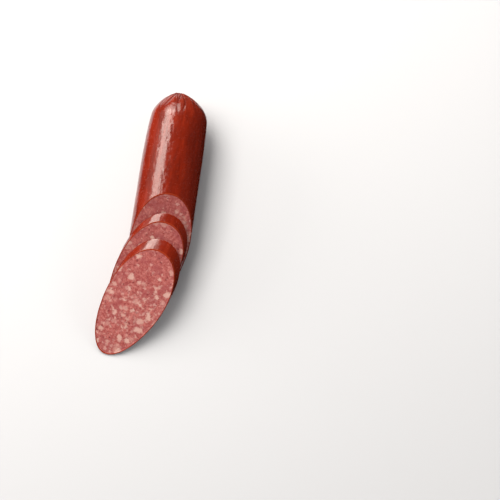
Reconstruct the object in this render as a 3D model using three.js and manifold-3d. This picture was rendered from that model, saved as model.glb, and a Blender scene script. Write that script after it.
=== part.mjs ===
// A smoked, cured sausage cut on the slant: the heel with its gathered round end,
// and two slices that have sunk back against its cut face like shingles.
// Each of the three pieces is a filling in its own thin casing.
//
// Millimetres, +Z up. The stick lies along Y with its round end at +Y. Its slanting
// cut meets the axis at Y = 0 until the finished group is centred.

import * as THREE from 'three';
import { mergeVertices } from 'three/addons/utils/BufferGeometryUtils.js';
import Module from 'manifold-3d';

const wasm = await Module();
wasm.setup();

const degrees = THREE.MathUtils.degToRad;

// Driving dimensions of the stick
const RADIUS = 22.2;               // mean radius of the straight part
const HEEL_LENGTH = 114.5;         // along the axis, from the cut to the round end
const SPARE_LENGTH = 70;           // stick past the cut, which the slices come from
const CASING_THICKNESS = 0.6;      // skin with the dried, smoked rind under it
const FILLING_GAP = 0.2;           // clearance between the casing and its filling
const OVAL = 0.012;                // the section is a little wider than it is tall
const LOBES = 0.036;               // and faintly three-sided
const LOBE_TURN = degrees(14.2);   // where its first flat side faces, from the top
const AXIS_HEIGHT = 22;            // presses a narrow flat into the heel's underside

// The round end: a quarter ellipse, with a taper that dies out along the stick
const CAP_LENGTH = 18.5;
const TAPER = 0.22;
const TAPER_LENGTH = 16.5;
const BEND = 0.8;                  // the end leans this far towards +X
const BEND_LENGTH = 28;            // and straightens over about this length
const GATHER_RAISE = 6;            // the gathered skin's middle sits above the axis
const GATHER_SHIFT = -1.4;         // and a little to one side of it
const GATHER_REACH = 5;            // dying out over about this length,
const GATHER_NUB = 0.9;            // and stands out round the middle,
const GATHER_NUB_REACH = 5;        // this far out from it,
const GATHER_DIMPLE = 1;           // which itself is drawn in by this much
const FOLDS = 16;                  // folds of skin that run into the gathered middle
const FOLD_DEPTH = 0.3;            // at their deepest, half out and half in
const FOLD_REACH = 5;              // how far they reach from it

// The slanting cut, and the slices that came off it
const CUT_SLANT = degrees(61.5);   // off a square cut, top leaning to the round end
const CUT_TURN = degrees(12);      // the slant's turn about the axis, towards +X
const FIRST_SLICE = {
  name: 'first_slice', thickness: 3.2, x: -5.6, y: -13.8, yaw: -14.6, pitch: -4.3, roll: -0.7,
};
const LAST_SLICE = {
  name: 'last_slice', thickness: 4.1, x: -8.8, y: -33.1, yaw: -19.9, pitch: -6.9, roll: -5.6,
};

// Mesh resolution
const AROUND = 4 * FOLDS;
const CAP_RINGS = 10;
const TAPER_RINGS = [22, 28, 36, 48, 64];

const FAR = 400;                   // further than any point of the object

function casingMaterial() {
  return new THREE.MeshStandardMaterial({ color: 0x8c1f10, roughness: 0.32, metalness: 0 });
}

function fillingMaterial() {
  return new THREE.MeshStandardMaterial({ color: 0xb5625c, roughness: 0.55, metalness: 0 });
}

// The section's reach at an angle from the top towards +X, as a share of the radius.
function sectionShare(angle) {
  return 1 - OVAL * Math.cos(2 * angle) - LOBES * Math.cos(3 * (angle - LOBE_TURN));
}

// Mean radius at a distance in from the round end.
function endRadius(inward, radius) {
  const across = 1 - Math.min(inward / CAP_LENGTH, 1);
  return radius * Math.sqrt(1 - across * across) * (1 - TAPER * Math.exp(-inward / TAPER_LENGTH));
}

// Profile of the whole stick, from its far end on the axis to its tip on the axis.
// The innermost ring is a half step from it, and makes the rim of the dimple.
function stickProfile(radius, tip) {
  const inward = [...TAPER_RINGS].reverse();
  for (let ring = CAP_RINGS; ring >= 0.5; ring -= ring > 1 ? 1 : 0.5) {
    inward.push(CAP_LENGTH * (1 - Math.cos((ring / CAP_RINGS) * Math.PI / 2)));
  }
  const start = -SPARE_LENGTH;
  const profile = [new THREE.Vector2(0, start), new THREE.Vector2(radius, start)];
  for (const distance of inward) {
    profile.push(new THREE.Vector2(endRadius(distance, radius), tip - distance));
  }
  profile.push(new THREE.Vector2(0, tip - GATHER_DIMPLE));
  return profile;
}

// The stick's outer shape, taken in all round by an inset, as a closed solid. No
// part of it reaches below the floor, which is what flattens the heel.
function stick(inset, floor) {
  const tip = HEEL_LENGTH - inset;
  const lathe = new THREE.LatheGeometry(stickProfile(RADIUS - inset, tip), AROUND);
  const position = lathe.attributes.position;
  const point = new THREE.Vector3();
  for (let i = 0; i < position.count; i++) {
    point.fromBufferAttribute(position, i);
    const inward = tip - point.y;
    const angle = Math.atan2(point.x, point.z);
    const reach = Math.hypot(point.x, point.z);
    const fade = Math.min(reach / FOLD_REACH, 1) * Math.exp(-inward / FOLD_REACH);
    const out = reach * sectionShare(angle) + FOLD_DEPTH * Math.cos(FOLDS * angle) * fade;
    const gathered = Math.exp(-inward / GATHER_REACH);
    const side = BEND * Math.exp(-((inward / BEND_LENGTH) ** 2)) + GATHER_SHIFT * gathered;
    const raise = AXIS_HEIGHT + GATHER_RAISE * gathered;
    point.x = out * Math.sin(angle) + side;
    point.y += GATHER_NUB * Math.exp(-((reach / GATHER_NUB_REACH) ** 2 + inward / CAP_LENGTH));
    point.z = Math.max(out * Math.cos(angle) + raise, floor + inset);
    position.setXYZ(i, point.x, point.y, point.z);
  }
  return solidOf(lathe);
}

function solidOf(geometry) {
  geometry.deleteAttribute('normal');
  geometry.deleteAttribute('uv');
  const merged = mergeVertices(geometry, 1e-4);
  return new wasm.Manifold(new wasm.Mesh({
    numProp: 3,
    vertProperties: new Float32Array(merged.attributes.position.array),
    triVerts: new Uint32Array(merged.index.array),
  }));
}

function geometryOf(solid) {
  const mesh = solid.getMesh();
  const geometry = new THREE.BufferGeometry();
  geometry.setAttribute('position', new THREE.BufferAttribute(mesh.vertProperties, 3));
  geometry.setIndex(new THREE.BufferAttribute(mesh.triVerts, 1));
  geometry.computeVertexNormals();
  return geometry;
}

// The slanting cut's frame: its face lies in local XY, and +Z points at the slices.
function cutTurn() {
  const normal = new THREE.Vector3(
    Math.sin(CUT_SLANT) * Math.sin(CUT_TURN),
    -Math.cos(CUT_SLANT),
    Math.sin(CUT_SLANT) * Math.cos(CUT_TURN),
  );
  return new THREE.Quaternion().setFromUnitVectors(new THREE.Vector3(0, 0, 1), normal);
}

// The space between two parallel cuts, by their depths from the heel's face.
function slab(from, to) {
  const block = new THREE.BoxGeometry(FAR, FAR, to - from);
  block.translate(0, 0, (from + to) / 2);
  block.applyQuaternion(cutTurn());
  block.translate(0, 0, AXIS_HEIGHT);
  return solidOf(block);
}

// A casing and a filling cut from the stick between two depths, as a named pair.
function cutPiece(name, from, to, floor) {
  const knife = slab(from, to);
  const casing = stick(0, floor).subtract(stick(CASING_THICKNESS, floor));
  const filling = stick(CASING_THICKNESS + FILLING_GAP, floor);
  const skin = new THREE.Mesh(geometryOf(casing.intersect(knife)), casingMaterial());
  const meat = new THREE.Mesh(geometryOf(filling.intersect(knife)), fillingMaterial());
  skin.name = `${name}_casing`;
  meat.name = `${name}_filling`;
  const piece = new THREE.Group();
  piece.add(skin, meat);
  return piece;
}

// A slice as it lies: placed and turned by the middle of its back face, then let
// down until its lowest edge meets the surface.
function laySlice(slice, depth) {
  const piece = cutPiece(slice.name, depth, depth + slice.thickness, -FAR);
  const backFace = new THREE.Vector3(0, -depth / Math.cos(CUT_SLANT), AXIS_HEIGHT);
  piece.children.forEach((mesh) => mesh.position.copy(backFace).negate());
  piece.quaternion.setFromEuler(new THREE.Euler(
    degrees(slice.pitch), degrees(slice.roll), degrees(slice.yaw), 'ZXY',
  ));
  piece.position.set(slice.x, slice.y, 0);
  piece.updateMatrixWorld(true);
  piece.position.z = -new THREE.Box3().setFromObject(piece, true).min.z;
  return piece;
}

const sausage = new THREE.Group();
sausage.add(cutPiece('heel', -FAR, 0, 0));
sausage.add(laySlice(FIRST_SLICE, 0));
sausage.add(laySlice(LAST_SLICE, FIRST_SLICE.thickness));

// The origin goes under the middle of the whole object.
sausage.updateMatrixWorld(true);
const middle = new THREE.Box3().setFromObject(sausage, true).getCenter(new THREE.Vector3());
sausage.position.set(-middle.x, -middle.y, 0);

export default sausage;
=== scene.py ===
"""A smoked, cured sausage lying cut open: the heel with its gathered round end, and
two slices that lean back on its slanting cut.

Shapes are worked out in millimetres on the whole, uncut stick. Its axis is the line
X = Z = 0, its round end is at +Y, and the heel's cut meets the axis at Y = 0. Every
vertex keeps its place in the stick as the attribute "stick", which the materials
read, so that skin and fat run on from one piece to the next. A second attribute,
"marks", tells them where the skin is creased, cut open or gathered; the skin's
material paints shade into the creases and light onto the cut edge and gathered end.
Pieces are placed in the frame, in metres, when their meshes are made.
"""

import math

import bpy
import numpy as np
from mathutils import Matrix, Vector, noise


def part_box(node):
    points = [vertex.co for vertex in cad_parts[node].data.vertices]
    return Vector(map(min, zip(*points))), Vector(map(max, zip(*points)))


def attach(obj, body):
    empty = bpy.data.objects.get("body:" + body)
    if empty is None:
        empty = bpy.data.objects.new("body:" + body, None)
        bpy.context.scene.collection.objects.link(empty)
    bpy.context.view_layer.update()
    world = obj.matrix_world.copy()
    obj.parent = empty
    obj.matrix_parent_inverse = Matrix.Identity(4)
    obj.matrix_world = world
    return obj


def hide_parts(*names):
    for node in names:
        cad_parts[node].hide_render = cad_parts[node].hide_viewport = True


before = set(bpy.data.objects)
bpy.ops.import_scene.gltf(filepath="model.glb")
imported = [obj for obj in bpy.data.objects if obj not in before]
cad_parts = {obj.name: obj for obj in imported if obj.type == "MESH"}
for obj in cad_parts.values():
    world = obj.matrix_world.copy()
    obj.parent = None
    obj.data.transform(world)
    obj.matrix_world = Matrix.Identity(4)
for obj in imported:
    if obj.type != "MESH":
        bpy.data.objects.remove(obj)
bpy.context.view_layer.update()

MM = 0.001

# The stick, as the CAD part has it
RADIUS = 22.2
HEEL_LENGTH = 114.5
CASING_THICKNESS = 0.6
OVAL = 0.012
LOBES = 0.036
LOBE_TURN = math.radians(14.2)
AXIS_HEIGHT = 22.0
CAP_LENGTH = 18.5
TAPER = 0.22
TAPER_LENGTH = 16.5
BEND = 0.8
BEND_LENGTH = 28.0
GATHER_RAISE = 6.0
GATHER_SHIFT = -1.4
GATHER_REACH = 5.0
GATHER_NUB = 0.9
GATHER_NUB_REACH = 5.0
CUT_SLANT = math.radians(61.5)
CUT_TURN = math.radians(12.0)

# The slices: thickness, and how the middle of each back face is placed and turned
FIRST_SLICE = dict(name="first_slice", thickness=3.2, x=-5.6, y=-13.8,
                   yaw=-14.6, pitch=-4.3, roll=-0.7)
LAST_SLICE = dict(name="last_slice", thickness=4.1, x=-8.8, y=-33.1,
                  yaw=-19.9, pitch=-6.9, roll=-5.6)

# Fineness of the meshes and of the profile they follow
FACE_RINGS = 64
AROUND = 6 * FACE_RINGS
HEEL_ROWS = 190
INNER_ROWS = 16
WALL_ROWS = 7
CAP_SAMPLES = 500
STRAIGHT_SAMPLES = 600
STRAIGHT_START = 0.2    # the straight samples run from this far past the round end
STRAIGHT_END = 170      # to this far
PAST_DIMPLE = 100       # from this sample on, the profile only runs away from the tip

# Skin and filling
LIP = 0.14              # rounding of the skin's cut edge
CLEARANCE = 0.02        # between skin and filling
SKIN_SINK = 0.16        # keeps the skin's relief inside its smooth form,
SKIN_TOP = -0.03        # and no higher than this
FACE_SINK = 0.08        # keeps the cut meat's relief under the cut
MEAN_SINK = 0.14        # about how far in the wrinkled skin lies
HIDDEN_SINK = 0.2       # the same for the hidden side of the heel's filling
INSET_REACH = 6.0       # how far from the tip an inset still takes the end in
SKIN_SETBACK = 1.2      # from the heel's cut to the first row of its outside
INNER_SETBACK = 1.0     # and from there to the first row of its inside
FILLING_SETBACK = 2.0   # from the heel's cut to the first row of its filling's side
DIMPLE = 1.3            # how far the gathered skin is drawn in at the middle
DIMPLE_WIDTH = 1.5

# Pleats of skin round the gathered end, in mm along or across the skin
PLEATS = 44
PLEAT_STRAY = 0.07              # how far one strays from its even place, in radians
PLEAT_DEPTH = 0.95              # of the deepest
PLEAT_DEPTH_SHARES = (0.3, 1.0)
PLEAT_WIDTH_RANGE = (0.28, 0.55)
PLEAT_START_RANGE = (0.4, 2.2)  # from the middle of the gathered end
PLEAT_END_RANGE = (11.0, 32.0)
PLEAT_SWAY = 0.06               # how far it winds to each side, in radians
PLEAT_SWAY_LENGTH = 4.1
PLEAT_WIDENING = 0.03           # per mm along
PLEAT_ONSET = 1.2               # length over which it sinks in

# What the marks on the skin say
CREASE_SHADE_FULL = 0.35      # a pleat this deep, as a share of PLEAT_DEPTH, is fully creased and gets the full painted shade
MIDDLE_REACH = 1.5      # creased skin at the very middle, which gets painted shade too
TIP_LIGHT_REACH = 13.0   # gathered skin round it, which gets painted light

rng = np.random.default_rng(20)


# ---------------------------------------------------------------- the stick's form

def share(angle):
    """The section's reach at an angle from the top towards +X, as a share."""
    return 1 - OVAL * np.cos(2 * angle) - LOBES * np.cos(3 * (angle - LOBE_TURN))


def make_profile():
    """Radius and distance in from the tip, by length along the skin from its middle."""
    turn = np.linspace(0, math.pi / 2, CAP_SAMPLES)
    inward = np.concatenate([
        CAP_LENGTH * (1 - np.cos(turn)),
        CAP_LENGTH + np.linspace(STRAIGHT_START, STRAIGHT_END, STRAIGHT_SAMPLES),
    ])
    across = np.concatenate([np.sin(turn), np.ones(STRAIGHT_SAMPLES)])
    radius = RADIUS * across * (1 - TAPER * np.exp(-inward / TAPER_LENGTH))
    dimpled = inward + DIMPLE * np.exp(-((radius / DIMPLE_WIDTH) ** 2))
    dimpled -= GATHER_NUB * np.exp(-((radius / GATHER_NUB_REACH) ** 2 + inward / CAP_LENGTH))
    steps = np.hypot(np.diff(radius), np.diff(dimpled))
    return np.concatenate([[0], np.cumsum(steps)]), radius, dimpled


LENGTH_ALONG, PROFILE_RADIUS, PROFILE_INWARD = make_profile()


def smooth_skin(angle, along, inset=0.0):
    """Points of the skin before any wrinkle, at a length along it from its middle."""
    radius = np.interp(along, LENGTH_ALONG, PROFILE_RADIUS)
    inward = np.interp(along, LENGTH_ALONG, PROFILE_INWARD)
    out = np.maximum(radius * share(angle) - inset, 0)
    gathered = np.exp(-inward / GATHER_REACH)
    side = BEND * np.exp(-((inward / BEND_LENGTH) ** 2)) + GATHER_SHIFT * gathered
    return np.stack([
        out * np.sin(angle) + side,
        HEEL_LENGTH - inward - inset * np.exp(-inward / INSET_REACH),
        out * np.cos(angle) + GATHER_RAISE * gathered,
    ], -1)


def cut_y(x, z, depth):
    """Y of a cut, by its depth from the heel's face."""
    rise = x * math.sin(CUT_TURN) + z * math.cos(CUT_TURN)
    return math.tan(CUT_SLANT) * rise - depth / math.cos(CUT_SLANT)


CUT_NORMAL = np.array([
    math.sin(CUT_SLANT) * math.sin(CUT_TURN),
    -math.cos(CUT_SLANT),
    math.sin(CUT_SLANT) * math.cos(CUT_TURN),
])


def section_point(angle, out, depth):
    """A point at a reach from the axis, on a cut at a depth from the heel's face."""
    x = out * np.sin(angle)
    z = out * np.cos(angle)
    return np.stack([x, cut_y(x, z, depth), z], -1)


def rumple(points, size, seed):
    """Smooth noise from about -1 to 1 at each point, with lumps of a size in mm."""
    shift = Vector((seed * 7.31, seed * 3.17, seed * 5.53))
    flat = points.reshape(-1, 3) / size
    values = [noise.noise(Vector(p) + shift) for p in flat]
    return np.array(values).reshape(points.shape[:-1])


# Each pleat: where round the middle, how deep, how wide, where it starts and ends
PLEAT_ANGLES = np.linspace(0, 2 * math.pi, PLEATS, endpoint=False)
PLEAT_ANGLES = PLEAT_ANGLES + rng.uniform(-PLEAT_STRAY, PLEAT_STRAY, PLEATS)
PLEAT_DEPTHS = rng.uniform(*PLEAT_DEPTH_SHARES, PLEATS) * PLEAT_DEPTH
PLEAT_WIDTHS = rng.uniform(*PLEAT_WIDTH_RANGE, PLEATS)
PLEAT_STARTS = rng.uniform(*PLEAT_START_RANGE, PLEATS)
PLEAT_ENDS = rng.uniform(*PLEAT_END_RANGE, PLEATS)


def pleats(angle, along):
    """How far the gathered end's pleats sink the skin."""
    sunk = np.zeros(np.broadcast(angle, along).shape)
    radius = np.interp(along, LENGTH_ALONG, PROFILE_RADIUS)
    for k in range(PLEATS):
        bent = PLEAT_ANGLES[k] + PLEAT_SWAY * np.sin(along / PLEAT_SWAY_LENGTH + 2.0 * k)
        off = (angle - bent + math.pi) % (2 * math.pi) - math.pi
        width = PLEAT_WIDTHS[k] + PLEAT_WIDENING * along
        line = np.exp(-np.abs(off * radius / width) ** 1.4)
        starts = np.clip((along - PLEAT_STARTS[k]) / PLEAT_ONSET, 0, 1)
        fades = np.clip(1 - along / PLEAT_ENDS[k], 0, 1) ** 0.7
        sunk = np.maximum(sunk, PLEAT_DEPTHS[k] * line * starts * fades)
    return sunk


# Streaks of fine wrinkles run along the stick and a little across it
STREAK = np.array([[1, 0.18, 0], [0, 0.42, 0], [0, 0.18, 1]])


def skin_relief(points, angle, along):
    """How far the skin stands out of its smooth form, in mm, never beyond it.

    Each layer is its depth in mm, times noise with lumps of its size in mm."""
    broad = 0.10 * rumple(points * [1, 0.6, 1], 13.0, 1)
    wrinkles = 0.075 * rumple(points * [1, 1.2, 1], 3.0, 2)
    streaks = 0.05 * rumple(points @ STREAK, 1.7, 4)
    fine = 0.03 * rumple(points, 1.3, 3)
    relief = broad + wrinkles + streaks + fine - SKIN_SINK
    return np.minimum(relief, SKIN_TOP) - pleats(angle, along)


def wrinkled_skin(angle, along):
    """Points of the skin as it is, and the same points on the smooth stick."""
    base = smooth_skin(angle, along)
    step = 0.02
    turned = smooth_skin(angle + step / 5, along) - smooth_skin(angle - step / 5, along)
    moved = smooth_skin(angle, along + step) - smooth_skin(angle, np.maximum(along - step, 0))
    normal = np.cross(moved, turned)
    normal /= np.maximum(np.linalg.norm(normal, axis=-1, keepdims=True), 1e-9)
    relief = skin_relief(base, angle, along)
    calm = np.clip(along, 0, 1)
    return base + normal * (relief * calm)[..., None], base


def skin_marks(angle, along):
    """How creased the skin is, that it is not cut open, and how near the gathering."""
    creased = np.clip(pleats(angle, along) / (CREASE_SHADE_FULL * PLEAT_DEPTH), 0, 1)
    creased = np.maximum(creased, np.exp(-((along / MIDDLE_REACH) ** 2)))
    gathered = np.exp(-((along / TIP_LIGHT_REACH) ** 2))
    return np.stack([creased, 0 * creased, gathered + 0 * creased], -1)


# ------------------------------------------------------------------ mesh building

class Builder:
    """Gathers vertices, each with its place in the stick, and the faces on them."""

    def __init__(self):
        self.points = []
        self.stick = []
        self.marks = []
        self.faces = []
        self.count = 0

    def add(self, points, stick, marks=(0, 0, 0)):
        """marks says how creased each vertex is, how cut open, and how gathered."""
        first = self.count
        points = points.reshape(-1, 3)
        self.points.append(points)
        self.stick.append(stick.reshape(-1, 3))
        self.marks.append(np.broadcast_to(np.reshape(marks, (-1, 3)), points.shape))
        self.count += len(points)
        return first

    def rows(self, points, stick, closed=False, flip=False, marks=(0, 0, 0)):
        """A grid of rows that each go round the stick, joined by quads.

        closed joins the last row to the first, and flip turns the quads inwards."""
        count, around = points.shape[:2]
        first = self.add(points, stick, marks)
        pairs = count if closed else count - 1
        for i in range(pairs):
            low = first + i * around
            high = first + (i + 1) % count * around
            for j in range(around):
                k = (j + 1) % around
                quad = (low + j, low + k, high + k, high + j)
                self.faces.append(quad[::-1] if flip else quad)
        return first, first + (count - 1) * around

    def join(self, low, high):
        """Quads between two rows that are already there."""
        for j in range(AROUND):
            k = (j + 1) % AROUND
            self.faces.append((low + j, low + k, high + k, high + j))

    def fan(self, row, tip, flip=False):
        """Triangles from a row to one vertex."""
        for j in range(AROUND):
            k = (j + 1) % AROUND
            self.faces.append((row + k, row + j, tip) if flip else (row + j, row + k, tip))

    def mesh(self, name, place):
        """Makes the object. place turns points of the stick into metres in the frame."""
        mesh = bpy.data.meshes.new(name)
        placed = place(np.concatenate(self.points))
        mesh.from_pydata(placed.tolist(), [], self.faces)
        for label, values in (("stick", self.stick), ("marks", self.marks)):
            kept = mesh.attributes.new(label, "FLOAT_VECTOR", "POINT")
            kept.data.foreach_set("vector", np.concatenate(values).astype(np.float32).ravel())
        mesh.validate()
        mesh.shade_smooth()
        mesh.set_sharp_from_angle(angle=math.radians(50))
        piece = bpy.data.objects.new(name, mesh)
        bpy.context.scene.collection.objects.link(piece)
        return piece


ANGLES = np.arange(AROUND) * 2 * math.pi / AROUND


def face_relief(points, seed):
    """The cut meat's uneven surface, in mm, never above the cut."""
    lumps = 0.05 * rumple(points, 3.4, seed)
    grains = 0.03 * rumple(points, 1.5, seed + 1)
    return lumps + grains - FACE_SINK


def add_face(builder, depth, inset, up):
    """A cut face as rings of triangles out to the skin. Returns its outer row.

    up is 1 where the face looks at the slices' side, and -1 on a slice's back."""
    starts = []
    for ring in range(FACE_RINGS + 1):
        count = max(6 * ring, 1)
        angle = np.arange(count) * 2 * math.pi / count
        out = (RADIUS * share(angle) - inset) * ring / FACE_RINGS
        points = section_point(angle, out, depth)
        relief = face_relief(points, 11) * (ring < FACE_RINGS)
        starts.append(builder.add(points + up * relief[:, None] * CUT_NORMAL, points))
    for ring in range(FACE_RINGS):
        near = max(6 * ring, 1)
        far = 6 * (ring + 1)
        for side in range(6):
            for i in range(ring + 1):
                a = starts[ring] + (side * ring + i) % near
                b = starts[ring + 1] + side * (ring + 1) + i
                c = starts[ring + 1] + (side * (ring + 1) + i + 1) % far
                builder.faces.append((a, b, c) if up > 0 else (a, c, b))
                if i < ring:
                    d = starts[ring] + (side * ring + i + 1) % near
                    builder.faces.append((a, c, d) if up > 0 else (a, d, c))
    return starts[-1]


def outer_reach(angle):
    """Reach of the smooth skin on the straight part."""
    return RADIUS * share(angle)


def wall(inset, depth):
    """A ring of the wrinkled skin on a cut at a depth, taken in by an inset."""
    flat = section_point(ANGLES, outer_reach(ANGLES), depth)
    along = length_at(HEEL_LENGTH - flat[:, 1])
    relief = skin_relief(flat, ANGLES, along)
    points = section_point(ANGLES, outer_reach(ANGLES) + relief - inset, depth)
    return points, flat


def length_at(inward):
    """Length along the skin at a distance in from the tip, past the round end."""
    return np.interp(inward, PROFILE_INWARD[PAST_DIMPLE:], LENGTH_ALONG[PAST_DIMPLE:])


# The lip's rounding, in shares of LIP: in from the outside, and back from the cut
LIP_STEPS = [(0.0, 1.0), (0.08, 0.6), (0.3, 0.3), (0.6, 0.08), (1.0, 0.0)]


def lip_rows(depth, up):
    """Rows over the skin's cut edge, from its outside to its inside."""
    rows = [wall(LIP * i, depth - up * LIP * d) for i, d in LIP_STEPS]
    back = [(CASING_THICKNESS - LIP * i, LIP * d) for i, d in reversed(LIP_STEPS)]
    rows += [wall(i, depth - up * d) for i, d in back]
    return rows


def lip_marks(rows):
    """The lip's rows are cut open, apart from the outermost, which comes last."""
    marks = np.zeros((rows, AROUND, 3))
    marks[:-1, :, 1] = 1
    return marks


def stack(rows):
    """The rows' points, and their places in the stick, as two grids."""
    points = np.stack([r[0] for r in rows])
    stick = np.stack([r[1] for r in rows])
    return points, stick


# ------------------------------------------------------------------------ pieces

def floor_heel(points):
    """The heel lies on a narrow flat of its underside."""
    points[..., 2] = np.maximum(points[..., 2], -AXIS_HEIGHT)
    return points


def heel_casing(place):
    builder = Builder()
    flat = section_point(ANGLES, outer_reach(ANGLES), 0.0)
    longest = length_at(HEEL_LENGTH - flat[:, 1] - SKIN_SETBACK)
    shares = np.linspace(1, 0, HEEL_ROWS + 1)[:-1]
    along = shares[:, None] * longest[None, :]
    angle = np.broadcast_to(ANGLES, along.shape)
    outside, outside_stick = wrinkled_skin(angle, along)
    lip, lip_stick = stack(lip_rows(0.0, 1)[::-1])
    inner_shares = np.linspace(1, 0, INNER_ROWS + 1)[:-1]
    inner_along = inner_shares[:, None] * (longest - INNER_SETBACK)[None, :]
    inner_angle = np.broadcast_to(ANGLES, inner_along.shape)
    inside = smooth_skin(inner_angle, inner_along, CASING_THICKNESS + MEAN_SINK)
    tip = smooth_skin(np.zeros(1), np.zeros(1))
    inner_tip = tip - [[0, CASING_THICKNESS, 0]]

    outside, lip, inside = map(floor_heel, (outside, lip, inside))
    inside[..., 2] = np.maximum(inside[..., 2], CASING_THICKNESS - AXIS_HEIGHT)
    lip_first, lip_last = builder.rows(lip, lip_stick, marks=lip_marks(len(lip)))
    out_first, out_last = builder.rows(outside, outside_stick, marks=skin_marks(angle, along))
    in_first, in_last = builder.rows(inside, inside, flip=True)
    builder.join(lip_last, out_first)
    builder.fan(out_last, builder.add(tip, tip, (1, 0, 1)))
    builder.join(in_first, lip_first)
    builder.fan(in_last, builder.add(inner_tip, inner_tip), flip=True)
    return builder.mesh("heel_skin", place)


def heel_filling(place):
    builder = Builder()
    inset = CASING_THICKNESS + CLEARANCE
    rim = add_face(builder, 0.0, inset + MEAN_SINK, 1)
    flat = section_point(ANGLES, outer_reach(ANGLES), 0.0)
    longest = length_at(HEEL_LENGTH - flat[:, 1] - FILLING_SETBACK)
    shares = np.linspace(1, 0, INNER_ROWS + 1)[:-1]
    along = shares[:, None] * longest[None, :]
    side = smooth_skin(np.broadcast_to(ANGLES, along.shape), along, inset + HIDDEN_SINK)
    side[..., 2] = np.maximum(side[..., 2], inset + HIDDEN_SINK - AXIS_HEIGHT)
    first, last = builder.rows(side, side)
    builder.join(rim, first)
    tip = smooth_skin(np.zeros(1), np.zeros(1)) - [[0, inset + HIDDEN_SINK, 0]]
    builder.fan(last, builder.add(tip, tip))
    return builder.mesh("heel_meat", place)


def slice_casing(name, near, far, place):
    builder = Builder()
    depths = np.linspace(far - LIP, near + LIP, WALL_ROWS + 2)[1:-1]
    rows = lip_rows(far, 1)[::-1]
    rows += [wall(0.0, d) for d in depths]
    rows += lip_rows(near, -1)
    lip = lip_marks(2 * len(LIP_STEPS))
    marks = np.concatenate([lip, np.zeros((WALL_ROWS, AROUND, 3)), lip[::-1]])
    builder.rows(*stack(rows), closed=True, marks=marks)
    return builder.mesh(f"{name}_skin", place)


def slice_filling(name, near, far, place):
    builder = Builder()
    inset = CASING_THICKNESS + CLEARANCE + MEAN_SINK
    front = add_face(builder, far, inset, 1)
    back = add_face(builder, near, inset, -1)
    builder.join(front, back)
    return builder.mesh(f"{name}_meat", place)


# ----------------------------------------------------------------------- placing

def stick_origin():
    """Where the middle of the heel's cut is in the frame, in metres."""
    low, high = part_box("heel_casing")
    edge = section_point(ANGLES, outer_reach(ANGLES), 0.0)
    toe = cut_y(edge[:, 0], np.maximum(edge[:, 2], -AXIS_HEIGHT), 0.0).min()
    return np.array([high[0] - edge[:, 0].max() * MM, low[1] - toe * MM, AXIS_HEIGHT * MM])


ORIGIN = stick_origin()


def place_heel(points):
    """Points of the stick, where the heel lies in the frame."""
    return points * MM + ORIGIN


def turn_matrix(slice_):
    """Yaw about Z, after pitch about X, after roll about Y."""
    a, b, c = (math.radians(slice_[k]) for k in ("yaw", "pitch", "roll"))
    yaw = [[math.cos(a), -math.sin(a), 0], [math.sin(a), math.cos(a), 0], [0, 0, 1]]
    pitch = [[1, 0, 0], [0, math.cos(b), -math.sin(b)], [0, math.sin(b), math.cos(b)]]
    roll = [[math.cos(c), 0, math.sin(c)], [0, 1, 0], [-math.sin(c), 0, math.cos(c)]]
    return np.array(yaw) @ np.array(pitch) @ np.array(roll)


def placer(slice_, near):
    """How a slice lies: its lowest edge rests where its CAD node's does."""
    turned = turn_matrix(slice_)
    middle = np.array([0, -near / math.cos(CUT_SLANT), 0])
    depths = (near, near + slice_["thickness"])
    edges = [section_point(ANGLES, outer_reach(ANGLES), d) for d in depths]
    lowest = ((np.concatenate(edges) - middle) @ turned.T)[:, 2].min()
    shift = np.array([slice_["x"], slice_["y"], -lowest - AXIS_HEIGHT])

    def place(points):
        return ((points - middle) @ turned.T + shift) * MM + ORIGIN

    return place


# --------------------------------------------------------------------- materials

def new_material(name):
    material = bpy.data.materials.new(name)
    material.use_nodes = True
    tree = material.node_tree
    return material, tree, tree.nodes["Principled BSDF"]


def node(tree, kind, inputs=(), **settings):
    """A new node. Its inputs are given as sockets to link or as plain values."""
    made = tree.nodes.new(kind)
    for key, value in settings.items():
        setattr(made, key, value)
    for socket, value in dict(inputs).items():
        if isinstance(value, bpy.types.NodeSocket):
            tree.links.new(value, made.inputs[socket])
        else:
            made.inputs[socket].default_value = value
    return made


def stick_place(tree):
    """The place in the stick, in mm."""
    return node(tree, "ShaderNodeAttribute", attribute_name="stick").outputs["Vector"]


def parts_of(tree, vector):
    """A vector's X, Y and Z."""
    return node(tree, "ShaderNodeSeparateXYZ", {"Vector": vector}).outputs


def mark(tree, which):
    """One of the marks: X creased, Y cut open, Z gathered."""
    marks = node(tree, "ShaderNodeAttribute", attribute_name="marks").outputs["Vector"]
    return parts_of(tree, marks)[which]


def noise_value(tree, place, size, detail, roughness):
    """Noise from 0 to 1, with lumps of a size in mm."""
    made = node(tree, "ShaderNodeTexNoise",
                {"Vector": place, "Scale": 1 / size, "Detail": detail, "Roughness": roughness})
    return made.outputs["Fac"]


def ramp(tree, value, low, high, start=0.0, end=1.0):
    """Runs smoothly from start to end as the value goes from low to high."""
    made = node(tree, "ShaderNodeMapRange",
                {"Value": value, "From Min": low, "From Max": high,
                 "To Min": start, "To Max": end},
                interpolation_type="SMOOTHSTEP")
    return made.outputs["Result"]


def maths(tree, operation, a, b):
    return node(tree, "ShaderNodeMath", {0: a, 1: b}, operation=operation).outputs[0]


def mix(tree, part, a, b):
    """Colour a, with colour b laid over it by a part from 0 to 1."""
    made = node(tree, "ShaderNodeMix", data_type="RGBA")
    for index, value in ((0, part), (6, a), (7, b)):
        if isinstance(value, bpy.types.NodeSocket):
            tree.links.new(value, made.inputs[index])
        else:
            made.inputs[index].default_value = value
    return made.outputs[2]


def colour(r, g, b):
    return (r, g, b, 1.0)


def scaled(tree, value, by):
    return maths(tree, "MULTIPLY", value, by)


def stretched_place(tree, place, along):
    """The place with lengths along the stick scaled, which draws out what is on it."""
    return node(tree, "ShaderNodeVectorMath", {0: place, 1: (1, along, 1)},
                operation="MULTIPLY").outputs[0]


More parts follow.
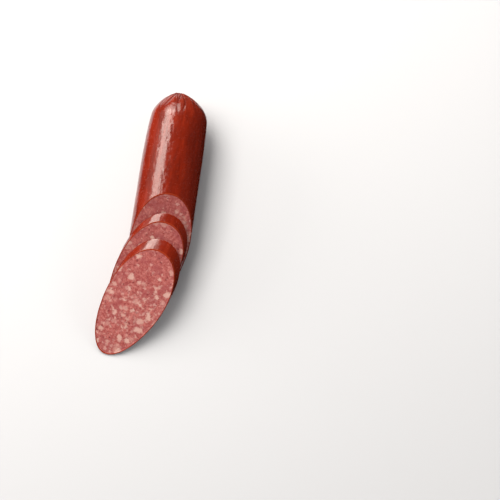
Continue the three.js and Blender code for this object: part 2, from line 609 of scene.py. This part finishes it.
def warped(tree, place, size, by):
    """The place pushed about by noise, so that what is drawn there has uneven edges."""
    made = node(tree, "ShaderNodeTexNoise", {"Vector": place, "Scale": 1 / size, "Detail": 3.0})
    off = node(tree, "ShaderNodeVectorMath", {0: made.outputs["Color"], 1: (0.5, 0.5, 0.5)},
               operation="SUBTRACT")
    push = node(tree, "ShaderNodeVectorMath", {0: off.outputs[0], "Scale": by}, operation="SCALE")
    return node(tree, "ShaderNodeVectorMath", {0: place, 1: push.outputs[0]},
                operation="ADD").outputs[0]


def flecks(tree, place, size, wanted, smallest, largest, edge):
    """Rounded flecks scattered in the stick, at most one to a cell of this size.

    wanted is the share of the cells that have one, as a number or a socket. A fleck's
    radius is between smallest and largest, and edge is how far it blurs, all in mm."""
    cells = node(tree, "ShaderNodeTexVoronoi",
                 {"Vector": place, "Scale": 1 / size, "Randomness": 1.0},
                 feature="F1", distance="EUCLIDEAN")
    picks = node(tree, "ShaderNodeSeparateColor", {"Color": cells.outputs["Color"]})
    away = scaled(tree, cells.outputs["Distance"], size)
    reach = ramp(tree, picks.outputs["Green"], 0.0, 1.0, smallest, largest)
    inside = ramp(tree, maths(tree, "SUBTRACT", reach, away), -edge, edge)
    present = maths(tree, "LESS_THAN", picks.outputs["Red"], wanted)
    strength = ramp(tree, picks.outputs["Blue"], 0.0, 0.8, 0.4, 1.0)
    return scaled(tree, scaled(tree, inside, present), strength)


SHADED_SIDE = (8.5, 13.0)         # painted shade on the stick's +X side begins between these X, in mm
STREAK_DRAW = 0.1                 # how far streaks and patches are drawn out along it
PATCH_DRAW = 0.35
SKIN_ROUGHNESS = (0.17, 0.3)
SKIN_RED = colour(0.185, 0.0125, 0.0035)
SKIN_BROWN = colour(0.125, 0.009, 0.003)
SKIN_SPECK = colour(0.22, 0.022, 0.007)
SKIN_PALE_STREAK = colour(0.26, 0.022, 0.006)
SKIN_DARK_STREAK = colour(0.10, 0.007, 0.0025)
# Painted light: a glow on the casing's thin cut edge
SKIN_CUT_EDGE_GLOW = colour(0.29, 0.035, 0.012)
# Painted shade for the skin's +X side, away from the key light
SKIN_SHADED_SIDE = colour(0.088, 0.0065, 0.0025)
# Painted light for the gathered round end
SKIN_TIP_LIGHT = colour(0.44, 0.075, 0.04)
# Painted shade for the creases and the drawn-in middle
SKIN_CREASE_SHADE = colour(0.10, 0.008, 0.004)


def skin_tone(tree, place, drawn):
    """The casing's colour, with painted shade on its +X side and in its creases, and painted
    light on its cut edge and gathered end. drawn is the place, with what is on it drawn out.
    """
    patches = ramp(tree, noise_value(tree, drawn, 9.0, 3.0, 0.6), 0.35, 0.7)
    specks = ramp(tree, noise_value(tree, place, 1.6, 2.0, 0.6), 0.55, 0.8)
    streaks = noise_value(tree, stretched_place(tree, place, STREAK_DRAW), 2.4, 3.0, 0.6)
    side = parts_of(tree, warped(tree, drawn, 6.0, 4.0))["X"]
    tone = mix(tree, patches, SKIN_RED, SKIN_BROWN)
    tone = mix(tree, scaled(tree, specks, 0.5), tone, SKIN_SPECK)
    tone = mix(tree, ramp(tree, streaks, 0.5, 0.72, 0.0, 0.5), tone, SKIN_PALE_STREAK)
    tone = mix(tree, ramp(tree, streaks, 0.46, 0.28, 0.0, 0.5), tone, SKIN_DARK_STREAK)
    # Painted light: the cut edge glows a lighter orange
    tone = mix(tree, mark(tree, "Y"), tone, SKIN_CUT_EDGE_GLOW)
    # Painted shade: the skin darkens towards its +X side
    tone = mix(tree, ramp(tree, side, *SHADED_SIDE, 0.0, 0.5), tone, SKIN_SHADED_SIDE)
    # Painted light: the skin turns paler towards the gathered end
    tone = mix(tree, scaled(tree, mark(tree, "Z"), 0.7), tone, SKIN_TIP_LIGHT)
    # Painted shade: creases and the middle darken by how deep they are
    return mix(tree, scaled(tree, mark(tree, "X"), 0.85), tone, SKIN_CREASE_SHADE)


def skin_material():
    """Smoked casing: red-brown, mottled, with a moist shine and fine creases."""
    material, tree, shader = new_material("smoked_casing")
    place = stick_place(tree)
    drawn = stretched_place(tree, place, PATCH_DRAW)
    tree.links.new(skin_tone(tree, place, drawn), shader.inputs["Base Color"])
    rough = ramp(tree, noise_value(tree, place, 2.4, 3.0, 0.6), 0.3, 0.75, *SKIN_ROUGHNESS)
    tree.links.new(rough, shader.inputs["Roughness"])
    creases = noise_value(tree, place, 0.9, 1.0, 0.5)
    crinkles = noise_value(tree, warped(tree, drawn, 2.0, 1.5), 1.7, 1.5, 0.5)
    height = maths(tree, "ADD", scaled(tree, crinkles, 3.2), creases)
    bump = node(tree, "ShaderNodeBump",
                {"Height": height, "Strength": 0.35, "Distance": 0.00009})
    tree.links.new(bump.outputs[0], shader.inputs["Normal"])
    shader.inputs["IOR"].default_value = 1.5
    shader.inputs["Coat Weight"].default_value = 0.3
    shader.inputs["Coat Roughness"].default_value = 0.16
    shader.inputs["Coat IOR"].default_value = 1.5
    return material


CROWDING_HEIGHTS = (17.0, 1.0)    # the fat goes from sparse to crowded between these Z,
CROWDING_SHARES = (0.14, 0.78)    # in mm in the stick, as shares of the cells with a fleck
COARSE_CROWDING = 1.2             # large flecks, against medium ones
MEAT_ROUGHNESS = (0.38, 0.62)
MEAT_DARK = colour(0.30, 0.056, 0.054)
MEAT_PALE = colour(0.46, 0.14, 0.125)
MEAT_LUMP = colour(0.54, 0.20, 0.18)
MEAT_PALE_GRAIN = colour(0.62, 0.27, 0.245)
MEAT_DARK_GRAIN = colour(0.20, 0.032, 0.036)
MEAT_CLOUD = colour(0.31, 0.068, 0.072)
FAT_SMALL = colour(0.62, 0.32, 0.28)
FAT_MEDIUM = colour(0.60, 0.36, 0.325)
FAT_LARGE = colour(0.61, 0.385, 0.335)
SPICE = colour(0.16, 0.024, 0.028)


def lean_tone(tree, place, chopped):
    """The lean meat's colour, in which the flecks lie."""
    lumps = noise_value(tree, place, 3.6, 3.0, 0.55)
    grain = noise_value(tree, place, 0.85, 2.0, 0.6)
    clouds = noise_value(tree, place, 9.0, 2.0, 0.5)
    tone = mix(tree, ramp(tree, chopped, 0.36, 0.66), MEAT_DARK, MEAT_PALE)
    tone = mix(tree, ramp(tree, lumps, 0.46, 0.72, 0.0, 0.5), tone, MEAT_LUMP)
    tone = mix(tree, ramp(tree, grain, 0.54, 0.74, 0.0, 0.45), tone, MEAT_PALE_GRAIN)
    tone = mix(tree, ramp(tree, grain, 0.47, 0.28, 0.0, 0.65), tone, MEAT_DARK_GRAIN)
    return mix(tree, ramp(tree, clouds, 0.42, 0.66, 0.0, 0.6), tone, MEAT_CLOUD)


def meat_material():
    """Cut filling: pink-red chopped meat with pale fat flecks of several sizes.

    The fat is more crowded low in the stick than near its top."""
    material, tree, shader = new_material("cured_filling")
    place = stick_place(tree)
    uneven = warped(tree, place, 1.7, 2.2)
    chopped = noise_value(tree, uneven, 1.9, 3.0, 0.6)
    height_in_stick = parts_of(tree, warped(tree, place, 11, 26))["Z"]
    crowding = ramp(tree, height_in_stick, *CROWDING_HEIGHTS, *CROWDING_SHARES)
    coarse = scaled(tree, crowding, COARSE_CROWDING)
    small = flecks(tree, uneven, size=2.2, wanted=0.40,
                   smallest=0.3, largest=0.8, edge=0.25)
    dark = flecks(tree, uneven, size=2.1, wanted=0.5,
                  smallest=0.3, largest=0.75, edge=0.22)
    medium = flecks(tree, warped(tree, place, 2.0, 3.2), size=3.3, wanted=crowding,
                    smallest=0.6, largest=1.4, edge=0.45)
    large = flecks(tree, warped(tree, place, 2.2, 5.0), size=5.0, wanted=coarse,
                   smallest=1.1, largest=2.5, edge=0.8)
    tone = lean_tone(tree, place, chopped)
    tone = mix(tree, scaled(tree, small, 0.5), tone, FAT_SMALL)
    tone = mix(tree, scaled(tree, dark, 0.75), tone, SPICE)
    tone = mix(tree, scaled(tree, medium, 0.6), tone, FAT_MEDIUM)
    tone = mix(tree, scaled(tree, large, 0.85), tone, FAT_LARGE)
    tree.links.new(tone, shader.inputs["Base Color"])
    rough = ramp(tree, noise_value(tree, place, 1.4, 3.0, 0.6), 0.3, 0.75, *MEAT_ROUGHNESS)
    tree.links.new(rough, shader.inputs["Roughness"])
    height = maths(tree, "ADD", chopped, scaled(tree, large, 0.35))
    bump = node(tree, "ShaderNodeBump",
                {"Height": height, "Strength": 0.5, "Distance": 0.00012})
    tree.links.new(bump.outputs[0], shader.inputs["Normal"])
    shader.inputs["IOR"].default_value = 1.45
    shader.inputs["Subsurface Weight"].default_value = 0.12
    shader.inputs["Subsurface Radius"].default_value = (1.0, 0.35, 0.25)
    shader.inputs["Subsurface Scale"].default_value = 0.0015
    return material


def plain_material(name, paint, roughness):
    """For the floor and the cards, which aren't part of the object."""
    material, _, shader = new_material(name)
    shader.inputs["Base Color"].default_value = paint
    shader.inputs["Roughness"].default_value = roughness
    return material, shader


# ----------------------------------------------------------------- camera, lights

CAMERA_DISTANCE = 1.320
CAMERA_ELEVATION = math.radians(85.0)
CAMERA_TURN = math.radians(8.54)
CAMERA_LENS = 127.7
SENSOR_WIDTH = 36
CAMERA_AIM = (66.6, 10.5)     # from the middle of the heel's cut, in mm, on the surface
LIGHT_DISTANCE = 1.25
WARM = (1.0, 0.9, 0.82)
FLOOR_SIZE = 8
FLOOR_COLOUR = colour(0.58, 0.62, 0.66)
WORLD_STRENGTH = 0.2


def make_camera():
    data = bpy.data.cameras.new("camera")
    data.sensor_width = SENSOR_WIDTH
    data.lens = CAMERA_LENS
    data.clip_start = 0.05
    data.clip_end = 20
    camera = bpy.data.objects.new("camera", data)
    bpy.context.scene.collection.objects.link(camera)
    aim = Vector((ORIGIN[0] + CAMERA_AIM[0] * MM, ORIGIN[1] + CAMERA_AIM[1] * MM, 0))
    flat = math.cos(CAMERA_ELEVATION)
    back = Vector((math.sin(CAMERA_TURN) * flat, -math.cos(CAMERA_TURN) * flat,
                   math.sin(CAMERA_ELEVATION)))
    camera.location = aim + back * CAMERA_DISTANCE
    camera.rotation_euler = (-back).to_track_quat("-Z", "Y").to_euler()
    bpy.context.scene.camera = camera


def softbox(name, azimuth, elevation, distance, size, power):
    """A rectangular light that looks at the object. Azimuth is from +Y towards +X."""
    data = bpy.data.lights.new(name, "AREA")
    data.shape = "RECTANGLE"
    data.size, data.size_y = size
    data.energy = power
    data.color = WARM
    light = bpy.data.objects.new(name, data)
    bpy.context.scene.collection.objects.link(light)
    turn = math.radians(azimuth)
    rise = math.radians(elevation)
    way = Vector((math.sin(turn) * math.cos(rise), math.cos(turn) * math.cos(rise),
                  math.sin(rise)))
    light.location = way * distance
    light.rotation_euler = way.to_track_quat("Z", "Y").to_euler()
    return light


def strip_light(name, lean, along, size, power):
    """A light along Y, leaning from straight above towards +X and moved along Y."""
    light = softbox(name, 90, 90 - lean, LIGHT_DISTANCE, size, power)
    light.rotation_euler = (0, math.radians(lean), 0)
    light.location.y = along
    return light


def make_lights():
    """The key makes the long highlight. The fills are left out of reflections."""
    strip_light("key", -25, 0.6, (0.75, 1.2), 24)
    strip_light("key_spill", -58, 0.4, (0.5, 1.2), 1.0)
    softbox("back", -20, 40, 1.2, (1.0, 0.6), 9)
    left = strip_light("left_fill", -74, 0.2, (0.5, 1.2), 10)
    right = strip_light("right_fill", 62, 0.2, (0.5, 1.2), 4)
    front = softbox("front_fill", -150, 35, 1.25, (0.8, 0.5), 2.1)
    for fill in (left, right, front):
        fill.visible_glossy = False


def make_flag(name, card, x, y, turn, length, height):
    """A black card standing by the object, which only its reflections can see."""
    bpy.ops.mesh.primitive_plane_add(size=1, location=(x, y, height / 2))
    flag = bpy.context.object
    flag.name = name
    flag.scale = (length, height, 1)
    flag.rotation_euler = (math.pi / 2, 0, math.radians(turn))
    flag.data.materials.append(card)
    flag.visible_camera = False
    flag.visible_diffuse = False
    flag.visible_shadow = False
    flag.visible_transmission = False


def make_flags():
    card, shader = plain_material("black_card", colour(0, 0, 0), 1.0)
    shader.inputs["Specular IOR Level"].default_value = 0.0
    make_flag("flag_right", card, 0.036, 0, 90, 0.6, 0.34)
    make_flag("flag_left", card, -0.068, -0.08, 90, 0.46, 0.04)
    make_flag("flag_back", card, 0.055, 0.12, 0, 0.1, 0.03)


def make_floor():
    bpy.ops.mesh.primitive_plane_add(size=FLOOR_SIZE, location=(0, 0, 0))
    floor = bpy.context.object
    floor.name = "floor"
    material, _ = plain_material("pale_floor", FLOOR_COLOUR, 0.9)
    floor.data.materials.append(material)


def make_world():
    """A white surround that reflections don't show."""
    world = bpy.data.worlds.new("studio")
    world.use_nodes = True
    back = world.node_tree.nodes["Background"]
    back.inputs["Color"].default_value = colour(1, 1, 1)
    back.inputs["Strength"].default_value = WORLD_STRENGTH
    bpy.context.scene.world = world
    world.cycles_visibility.glossy = False
    bpy.context.scene.view_settings.view_transform = "Standard"


make_camera()
make_world()
make_floor()
make_flags()
make_lights()


# ---------------------------------------------------------------------- assembly

def finished(piece, material, cad_node):
    """Gives a piece its material and its place in the frame."""
    piece.data.materials.append(material)
    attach(piece, "root")
    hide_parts(cad_node)


skin = skin_material()
meat = meat_material()
finished(heel_casing(place_heel), skin, "heel_casing")
finished(heel_filling(place_heel), meat, "heel_filling")
depth = 0.0
for lying in (FIRST_SLICE, LAST_SLICE):
    near = depth
    far = depth + lying["thickness"]
    place = placer(lying, near)
    name = lying["name"]
    finished(slice_casing(name, near, far, place), skin, f"{name}_casing")
    finished(slice_filling(name, near, far, place), meat, f"{name}_filling")
    depth = far
